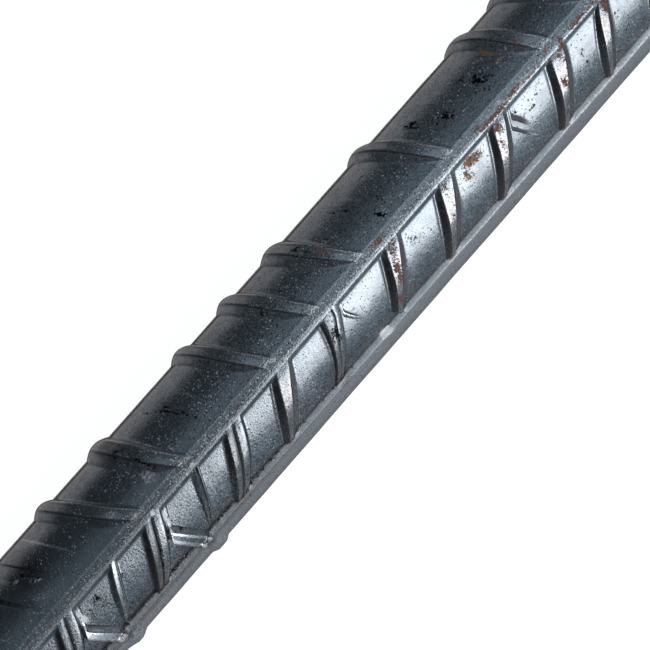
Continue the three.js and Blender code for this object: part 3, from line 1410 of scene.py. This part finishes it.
def new_group(
    name: str, inputs: dict[str, str], outputs: dict[str, str],
) -> tuple[Shader, Node, bpy.types.Node]:
    """Starts a shader node group.

    Args:
        name: Its name.
        inputs: The name and socket type of each input.
        outputs: The name and socket type of each output.

    Returns:
        The group's tree, the node that gives its inputs and the one that takes its outputs.
    """
    tree = bpy.data.node_groups.new(name, "ShaderNodeTree")
    for way, sockets in (("INPUT", inputs), ("OUTPUT", outputs)):
        for socket, kind in sockets.items():
            tree.interface.new_socket(socket, in_out=way, socket_type=kind)
    shader = Shader(tree)
    return shader, shader.node("NodeGroupInput"), tree.nodes.new("NodeGroupOutput")


@dataclass(frozen=True)
class RustFilm:
    """Rust, broken up by its own grain. Its node group is shared by the finishes.

    Attributes:
        deep, light: The rust's colours.
        gold: The colour of yellow rust.
        grain: How fine its grain is, in grains to a mm.
    """

    deep: Colour = (0.07, 0.036, 0.032, 1)
    light: Colour = (0.25, 0.11, 0.072, 1)
    gold: Colour = (0.37, 0.175, 0.045, 1)
    grain: float = 2.8

    def tree(self) -> bpy.types.NodeTree:
        """Builds the rust's node group, once.

        Returns:
            The group, which is given places, a cover and a share of yellow.
        """
        shader, given, wanted = new_group(
            "rust_film",
            {"Places": "NodeSocketVector", "Cover": "NodeSocketFloat", "Yellow": "NodeSocketFloat"},
            {"Share": "NodeSocketFloat", "Colour": "NodeSocketColor"},
        )
        places, cover = given["Places"], given["Cover"]
        broken = places.noise(self.grain, 4.0, 0.65).ramp(0.32, 0.68)
        share = (cover + broken * 0.8).ramp(0.62, 1.15, 0.0, 0.9) * cover.ramp(0.0, 0.2)
        hue = places.noise(self.grain * 1.1, 4.0, 0.7).ramp(0.38, 0.62)
        red = shader.mix(hue, self.deep, self.light)
        colour = shader.mix(given["Yellow"] * hue.ramp(0.0, 0.6), red, self.gold)
        shader.feed(wanted, {"Share": share, "Colour": colour})
        return shader.tree


# Over what stretch from the top rib, in mm round the core, each part of the skin begins.
ON_TOP, ON_LAND, ON_FRONT = (1.5, 1.1), (11.6, 12.2), (0.5, 2.0)
# Over what stretch along the bar, in mm, the specks grow coarse on the +Y side and on the -Y side.
COARSE_BACK, COARSE_FRONT = (-55.0, -30.0), (0.0, -25.0)
# The noises: waves to a mm, detail and roughness.
GRAIN, MOTTLE, CLOUD = (3.4, 1.5, 0.6), (1.0, 3.0, 0.6), (0.2,)
WEAR, STAIN, RAGGED = (1.3, 4.0, 0.6), (2.0, 4.0, 0.7), (1.9, 4.0, 0.65)


class ScaleMap:
    """Where on the rolled skin the surface is, and the noises over it.

    Attributes:
        places: Where it is, in mm.
        along: How far along the bar it is, in mm.
        from_top: How far round the core from the top rib, to either side, in mm.
        from_edge: How far round the core from the land's dull edge, in mm.
        on_top, on_land, on_front, on_back: How far it is on that part, from 0 to 1.
        plain: From 0 on the land's dull edge to 1 away from it.
        grain, mottle, cloud: A fine, a middling and a broad noise.
        rolled, lay: A noise drawn out along the bar, and one drawn out along the slanting ribs.
        lined: How far the rolled lines show.
        coarse: How coarse the specks are.
        shade: From 1 where the colour is darkened, in seams and as painted shade, to -1 where a
        highlight is painted.
    """

    def __init__(self, shader: Shader, land_edge: float) -> None:
        """Works out the places and the noises.

        Args:
            shader: The finish's node tree.
            land_edge: How far round the core from the top rib the land's dull edge is, in mm.
        """
        self.places = shader.places()
        self.along = shader.node("ShaderNodeSeparateXYZ", {0: self.places})["X"]
        self.shade = shader.attribute("shade")
        side = shader.attribute("side")
        self.from_top = abs(side)
        self.from_edge = abs(side - land_edge)
        self.on_top = self.from_top.ramp(*ON_TOP)
        self.on_land = side.ramp(*ON_LAND)
        self.on_front = side.ramp(*ON_FRONT)
        self.on_back = 1.0 - self.on_front
        self.plain = self.from_edge.ramp(0.2, 0.45)
        self.grain = self.places.noise(*GRAIN)
        self.mottle = self.places.noise(*MOTTLE)
        self.cloud = self.places.noise(*CLOUD)
        self.rolled, self.lay = (
            shader.node("ShaderNodeCombineXYZ", {"X": run, "Y": across})[0].noise(1.0)
            for run, across in ((self.along * 0.12, side * 3.4), (shader.attribute("lay") * 3.2, side * 0.3))
        )
        self.lined = self.on_top.most(self.on_land * 0.25)
        coarse_back = self.along.ramp(*COARSE_BACK) * self.from_top.ramp(11.5, 8.5, 0.3, 1.0) * self.on_back
        self.coarse = coarse_back + self.along.ramp(*COARSE_FRONT, 0.0, 0.6) * self.on_front


@dataclass(frozen=True)
class MillScale:
    """The finish of the rolled skin: blue-grey mill scale, worn on the crests and rusty in places.

    Attributes:
        dark, light: The scale's colour where it is dark and where it is light.
        land: The colour of the smooth land along the side.
        worn: The colour of worn crests.
        stain: The colour of the dirt on worn crests.
        grime_and_shade: The colour of the soft dark films, which are partly dirt and partly painted shade.
        black: The colour of thick black scale, of dark seams and pits, and of painted shade.
        polished_highlight: The colour of worn bright edges and of painted highlights along edges.
        fleck_and_glint: The colour of the small pale flecks and of the painted glints.
        polished_highlight: The colour of polished edges.
        bare: The colour of bare metal and of painted glints.
        roughness: How rough it is at its smoothest and at its roughest.
        edge, far_edge: How much light comes back at slanting angles, on the front and on the back.
        land_edge: How far round the core from the top rib the land's dull edge is, in mm.
        painted_paling: The stretch along the bar over which painted light makes the back lighter towards +X,
            in mm.
    """

    dark: Colour = (0.15, 0.165, 0.182, 1)
    light: Colour = (0.30, 0.325, 0.352, 1)
    land: Colour = (0.365, 0.415, 0.465, 1)
    worn: Colour = (0.36, 0.335, 0.345, 1)
    stain: Colour = (0.09, 0.065, 0.06, 1)
    grime_and_shade: Colour = (0.08, 0.077, 0.08, 1)
    black: Colour = (0.010, 0.010, 0.012, 1)
    fleck_and_glint: Colour = (0.60, 0.65, 0.70, 1)
    polished_highlight: Colour = (0.74, 0.77, 0.8, 1)
    bare: Colour = (0.92, 0.93, 0.95, 1)
    roughness: tuple[float, float] = (0.24, 0.36)
    edge: Colour = (0.35, 0.35, 0.35, 1)
    far_edge: Colour = (0.60, 0.56, 0.54, 1)
    land_edge: float = 11.95
    painted_paling: tuple[float, float] = (-65.0, 25.0)

    def tone(self, skin: ScaleMap, grime_and_shade_cover: Value) -> Value:
        """Works out how light the bare scale is.

        Args:
            skin: Where the surface is.
            grime_and_shade_cover: How far it is covered with the soft dark films, partly dirt and partly
                painted shade.

        Returns:
            The tone, from about 0.36 where it is dark to 0.64 where it is light.
        """
        tone = skin.grain * 0.45 + skin.mottle * 0.3 + skin.cloud * 0.25
        lines = (skin.rolled - 0.5) * skin.lined * (grime_and_shade_cover + 0.5)
        speckle = (skin.grain - 0.5) * skin.coarse * 1.1
        # Painted light: the +Y side is darker towards -X and lighter towards +X.
        painted_paler = skin.along.ramp(*self.painted_paling, -0.13, 0.14) * skin.from_top.ramp(12.5, 8.5) * skin.on_back
        return tone + lines + speckle + painted_paler

    def pits(self, skin: ScaleMap) -> Value:
        """Returns where the small dark pits are."""
        broad = skin.places.dots(0.9, 0.3, 0.45) * (skin.on_front * 0.55 + 0.45) * skin.plain
        return broad.most(skin.places.dots(0.55, 0.26, 0.35) * skin.coarse)

    def flecks_and_glints(self, skin: ScaleMap, seam_and_shade: Value) -> Value:
        """Scatters the small pale flecks and the painted glints.

        Args:
            skin: Where the surface is.
            seam_and_shade: How far it is darkened, in seams and by painted shade, where there are none.

        Returns:
            1 in a fleck or a painted glint and 0 between them.
        """
        speckled = skin.cloud.ramp(0.38, 0.58, 0.15, 1.0) * (1.0 - seam_and_shade)
        scattered = skin.places.dots(0.7, 0.26, 0.5).most(skin.places.dots(0.43, 0.18, 0.5))
        scattered = scattered * speckled * skin.plain.ramp(0.0, 1.0, 0.45, 1.0)
        # Painted glints: a dotted light line along the land's dull edge, and pale dots on the top rib, which
        # are partly flecks and partly painted glints.
        edge_glints = skin.places.dots(0.4, 0.24, 0.6) * skin.from_edge.ramp(0.3, 0.15)
        on_top = skin.places.dots(0.5, 0.28, 0.55) * skin.on_top * (skin.coarse * 0.5 + 0.4)
        return scattered.most(edge_glints, on_top)

    def material(self, rust_film: bpy.types.NodeTree) -> bpy.types.Material:
        """Builds the finish.

        Args:
            rust_film: The rust's node group.

        Returns:
            The finish as a material.
        """
        material = bpy.data.materials.new("mill_scale")
        shader = emptied(material)
        skin = ScaleMap(shader, self.land_edge)
        grain, mottle, coarse = skin.grain, skin.mottle, skin.coarse
        crest, ochre = shader.attribute("crest"), shader.attribute("ochre")
        grime_and_shade_cover = shader.attribute("grime_and_shade") * mottle.ramp(0.3, 0.6, 0.7, 1.0)
        # The shade attribute: above 0 it darkens seams and cracks and paints shade on flanks, at feet and on
        # outlines; below 0 it paints highlights along edges, partly on worn metal.
        seam_and_shade = skin.shade.most(0.0) * mottle.ramp(0.3, 0.5, 0.7, 1.0)
        polish_and_highlight = shader.math("MULTIPLY", skin.shade, -1.0, clamp=True) * grain.ramp(0.3, 0.6, 0.6, 1.0)
        ragged = skin.places.noise(*RAGGED).ramp(0.32, 0.68)
        # Bright marks: bare metal and painted glints, near white and dull.
        bare_and_glints = (shader.attribute("bright") + ragged * 0.4).ramp(0.5, 1.1)
        black = (shader.attribute("black_scale") + ragged).ramp(0.9, 1.25)
        pits, flecks_and_glints = self.pits(skin), self.flecks_and_glints(skin, seam_and_shade)
        rust = shader.node("ShaderNodeGroup", {
            "Places": skin.places,
            "Cover": shader.attribute("rust").most(ochre),
            "Yellow": ochre.ramp(0.0, 0.2),
        }, node_tree=rust_film)
        facing = shader.node("ShaderNodeLayerWeight", {"Blend": 0.5})["Facing"]
        # Painted shade: the +Y side is darkened near its outline, in the base colour and in the gloss's
        # tint, by the angle it is seen at.
        rim = facing.ramp(0.8, 0.9) * skin.on_back * 0.9

        colour = shader.mix(self.tone(skin, grime_and_shade_cover).ramp(0.36, 0.64), self.dark, self.light)
        for share, over in (
            (skin.on_land * grain.ramp(0.2, 0.8, 0.48, 1.0), self.land),
            (skin.from_top.ramp(5.0, 1.0, 0.0, 0.6), self.land),
            (crest * skin.places.noise(*WEAR).ramp(0.36, 0.56) * 0.9, self.worn),
            (crest * skin.places.noise(*STAIN).ramp(0.56, 0.66) * 0.85, self.stain),
            (grime_and_shade_cover, self.grime_and_shade),
            (seam_and_shade, self.black),
            (polish_and_highlight, self.polished_highlight),
            (bare_and_glints, self.bare),
            (pits * (coarse * 0.25 + 0.6), self.black),
            (flecks_and_glints * (coarse * 0.5 + 0.5), self.fleck_and_glint),
            (black, self.black),
            (rust["Share"], rust["Colour"]),
            # Painted shade along the +Y outline.
            (rim, self.black),
        ):
            colour = shader.mix(share, colour, over)

        far = facing.ramp(0.5, 0.78) * skin.on_back
        dull = rust["Share"].most(flecks_and_glints.most(bare_and_glints) * 0.8, seam_and_shade * 0.8, skin.plain.ramp(1.0, 0.0, 0.0, 0.5))
        roughness = grain.ramp(0.3, 0.7, *self.roughness) + dull.most(seam_and_shade) * 0.4 + black * 0.15
        relief = grain * (coarse * 0.5 + 0.5) + mottle * 0.35 + skin.lay * 0.2
        relief = relief + skin.rolled * skin.lined * 0.6 - pits * 0.5 + flecks_and_glints * 0.5
        relief = relief - black * 0.6 + rust["Share"] * 0.4
        surface = shader.node("ShaderNodeBsdfPrincipled", {
            "Base Color": colour,
            "Metallic": shader.math("SUBTRACT", 0.95, dull, clamp=True),
            "Roughness": roughness,
            "Specular Tint": shader.mix(rim, shader.mix(far, self.edge, self.far_edge), self.black),
            "Normal": shader.bump(relief, 0.6, 0.06),
        })
        shader.node("ShaderNodeOutputMaterial", {"Surface": surface[0]})
        return material


@dataclass(frozen=True)
class SawnSteel:
    """The finish of a sawn end: bare steel with fine saw marks and a little rust.

    Attributes:
        bare: The steel's colour.
        furrow: Its colour in the saw's furrows.
    """

    bare: Colour = (0.46, 0.45, 0.44, 1)
    furrow: Colour = (0.24, 0.235, 0.235, 1)

    def material(self, rust_film: bpy.types.NodeTree) -> bpy.types.Material:
        """Builds the finish.

        Args:
            rust_film: The rust's node group.

        Returns:
            The finish as a material.
        """
        material = bpy.data.materials.new("sawn_steel")
        shader = emptied(material)
        places = shader.places()
        across = shader.node("ShaderNodeMapping", {"Vector": places, "Scale": (1, 0.05, 1)})[0]
        marks = across.noise(2.2, 3.0)
        steel = shader.mix(marks.ramp(0.35, 0.65), self.furrow, self.bare)
        cover = places.noise(0.22, 4.0).ramp(0.45, 0.8, 0.0, 0.8)
        rust = shader.node("ShaderNodeGroup", {"Places": places, "Cover": cover}, node_tree=rust_film)
        surface = shader.node("ShaderNodeBsdfPrincipled", {
            "Base Color": shader.mix(rust["Share"], steel, rust["Colour"]),
            "Metallic": shader.math("SUBTRACT", 0.95, rust["Share"], clamp=True),
            "Roughness": rust["Share"] * 0.4 + 0.4,
            "Normal": shader.bump(marks, 0.5, 0.08),
        })
        shader.node("ShaderNodeOutputMaterial", {"Surface": surface[0]})
        return material


# The studio


WHITE = (1, 1, 1, 1)


@dataclass(frozen=True)
class Softbox:
    """A soft lamp.

    Attributes:
        name: Its name.
        place: Where it is, in metres.
        size: Its width and depth, in metres.
        glow: How bright its face is, where 1 looks white.
        aim: What it faces, in metres.
        colour: The colour of its light.
    """

    name: str
    place: Triple
    size: tuple[float, float]
    glow: float
    aim: Triple = (0.17, 0, 0.013)
    colour: Triple = (0.74, 0.89, 1.0)

    def build(self) -> None:
        """Hangs the lamp."""
        light = bpy.data.lights.new(self.name, "AREA")
        light.shape = "RECTANGLE"
        light.size, light.size_y = self.size
        light.color = self.colour
        light.energy = self.glow * math.pi * self.size[0] * self.size[1]
        lamp = bpy.data.objects.new(self.name, light)
        lamp.location = self.place
        lamp.rotation_euler = (Vector(self.aim) - Vector(self.place)).to_track_quat("-Z", "Y").to_euler()
        lamp.visible_camera = False
        bpy.context.scene.collection.objects.link(lamp)


@dataclass(frozen=True)
class Studio:
    """The floor, the lamps and the room's light.

    Attributes:
        floor_reach: How far the floor reaches from the middle, in metres.
        floor_colour: The floor's own colour, under its glow.
        floor_glow: How bright it glows, where 1 looks white.
        floor_warmth: The colour of its glow, as the bar mirrors it.
        fade: How far from the bar its glow, as the bar mirrors it, is down to half, in mm. This falloff
            is painted light.
        shadow: How far from the bar, on its -Y side, the bar's painted shadow in the mirrored floor is
            darkest and where it ends, in mm.
        past_end: How far before the bar's ends that painted shadow begins to end, in mm.
        lamps: The lamps.
        room: The colour of the room's light.
        room_glow: Its strength.
    """

    floor_reach: float = 12
    floor_colour: Colour = (0.3, 0.3, 0.3, 1)
    floor_glow: float = 0.95
    floor_warmth: Colour = (1.0, 0.94, 0.93, 1)
    fade: float = 45
    shadow: tuple[float, float] = (13, 24)
    past_end: float = 15
    lamps: tuple[Softbox, ...] = (
        Softbox("side_lamp", (0.18, -0.33, 0.51), (0.34, 0.46), 4.4, colour=(1.0, 1.0, 1.0)),
        Softbox("back_lamp", (0.44, 0.3, 0.65), (0.96, 0.36), 0.5, aim=(0.44, 0, 0.013)),
        Softbox("low_lamp", (0.5, -0.8, 0.36), (1.6, 0.6), 0.5),
        Softbox("right_lamp", (0.9, -0.15, 0.5), (0.7, 0.7), 0.35),
    )
    room: Colour = (0.66, 0.84, 1.0, 1)
    room_glow: float = 0.09

    def build(self) -> None:
        """Builds the studio."""
        self.light_room()
        for lamp in self.lamps:
            lamp.build()
        self.lay_floor()

    def light_room(self) -> None:
        """Lights the room, white to the camera and dim to everything else."""
        world = bpy.data.worlds.new("room")
        shader = emptied(world)
        seen = shader.node("ShaderNodeLightPath")["Is Camera Ray"]
        dim = shader.node("ShaderNodeBackground", {"Color": self.room, "Strength": self.room_glow})
        white = shader.node("ShaderNodeBackground", {"Color": WHITE, "Strength": 1.0})
        mixed = shader.node("ShaderNodeMixShader", {0: seen, 1: dim[0], 2: white[0]})
        shader.node("ShaderNodeOutputWorld", {"Surface": mixed[0]})
        bpy.context.scene.world = world

    def lay_floor(self) -> None:
        """Lays the pale floor."""
        reach = self.floor_reach
        mesh = bpy.data.meshes.new("floor")
        square = [(-reach, -reach, 0), (reach, -reach, 0), (reach, reach, 0), (-reach, reach, 0)]
        mesh.from_pydata(square, [], [(0, 1, 2, 3)])
        mesh.materials.append(self.floor_material())
        floor = bpy.data.objects.new("floor", mesh)
        bpy.context.scene.collection.objects.link(floor)

    def floor_material(self) -> bpy.types.Material:
        """Builds the floor's finish.

        Returns:
            The finish as a material, which looks white and keeps the bar's shadow.
        """
        material = bpy.data.materials.new("pale_floor")
        shader = emptied(material)
        path = shader.node("ShaderNodeLightPath")
        place = shader.node("ShaderNodeSeparateXYZ", {0: shader.places()})
        along, across = abs(place["X"]), place["Y"]
        # Painted light and shadow in the glow that the bar mirrors: it fades away from the bar, and close to
        # the bar on its -Y side it is darkened as a painted shadow, up to near the ends.
        near = 1.0 / ((abs(across) / self.fade) ** 1.5 + 1.0)
        lit = across.ramp(-self.shadow[1], -self.shadow[0], 1.0, 0.3).most(
            across > 0.0, along.ramp(HALF_LENGTH - self.past_end, HALF_LENGTH))
        seen = path["Is Camera Ray"].most(path["Is Glossy Ray"] * (near * lit), path["Is Transmission Ray"])
        colour = shader.mix(path["Is Camera Ray"], self.floor_warmth, WHITE)
        pale = shader.node("ShaderNodeBsdfDiffuse", {"Color": self.floor_colour})
        glow = shader.node("ShaderNodeEmission", {"Color": colour, "Strength": seen * self.floor_glow})
        both = shader.node("ShaderNodeAddShader", {0: pale[0], 1: glow[0]})
        shader.node("ShaderNodeOutputMaterial", {"Surface": both[0]})
        return material


@dataclass(frozen=True)
class Camera:
    """The camera, nearly straight above the bar.

    Attributes:
        lens: Its focal length, in mm.
        back: How far it stands from the bar's middle towards -X, in mm.
        above: How far it stands above the bar's axis, in mm.
        aim: What it looks at, from the bar's axis, in mm.
        roll: The angle between the picture's width and the bar, in degrees.
    """

    lens: float = 135
    back: float = 57.4
    above: float = 400.5
    aim: Triple = (-3.8, -2.22, 0)
    roll: float = 48.66

    def build(self, axis: tuple[float, float]) -> None:
        """Sets up the camera.

        Args:
            axis: The Y and Z of the bar's axis, in mm.
        """
        origin = Vector((0, *axis))
        place = origin + Vector((-self.back, 0, self.above))
        forward = (origin + Vector(self.aim) - place).normalized()
        bar_way = Vector((1, 0, 0))
        level = (bar_way - forward * bar_way.dot(forward)).normalized()
        roll = math.radians(self.roll)
        right = level * math.cos(roll) + forward.cross(level) * math.sin(roll)
        up = right.cross(forward)
        lens = bpy.data.cameras.new("camera")
        lens.lens = self.lens
        lens.clip_start, lens.clip_end = 0.01, 50
        camera = bpy.data.objects.new("camera", lens)
        turned = Matrix((right, up, -forward)).transposed().to_4x4()
        camera.matrix_world = Matrix.Translation(place * MM) @ turned
        bpy.context.scene.collection.objects.link(camera)
        bpy.context.scene.camera = camera


def main() -> None:
    """Builds the bar, the studio and the camera."""
    logging.basicConfig(level=logging.INFO, format="%(name)s: %(message)s")
    bpy.context.scene.view_settings.view_transform = "Standard"
    bar = Bar()
    Camera().build(bar.axis())
    Studio().build()
    rust_film = RustFilm().tree()
    piece = bar.build((MillScale().material(rust_film), SawnSteel().material(rust_film)))
    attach(piece, "root")
    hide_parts("bar")


if __name__ == "__main__":
    main()
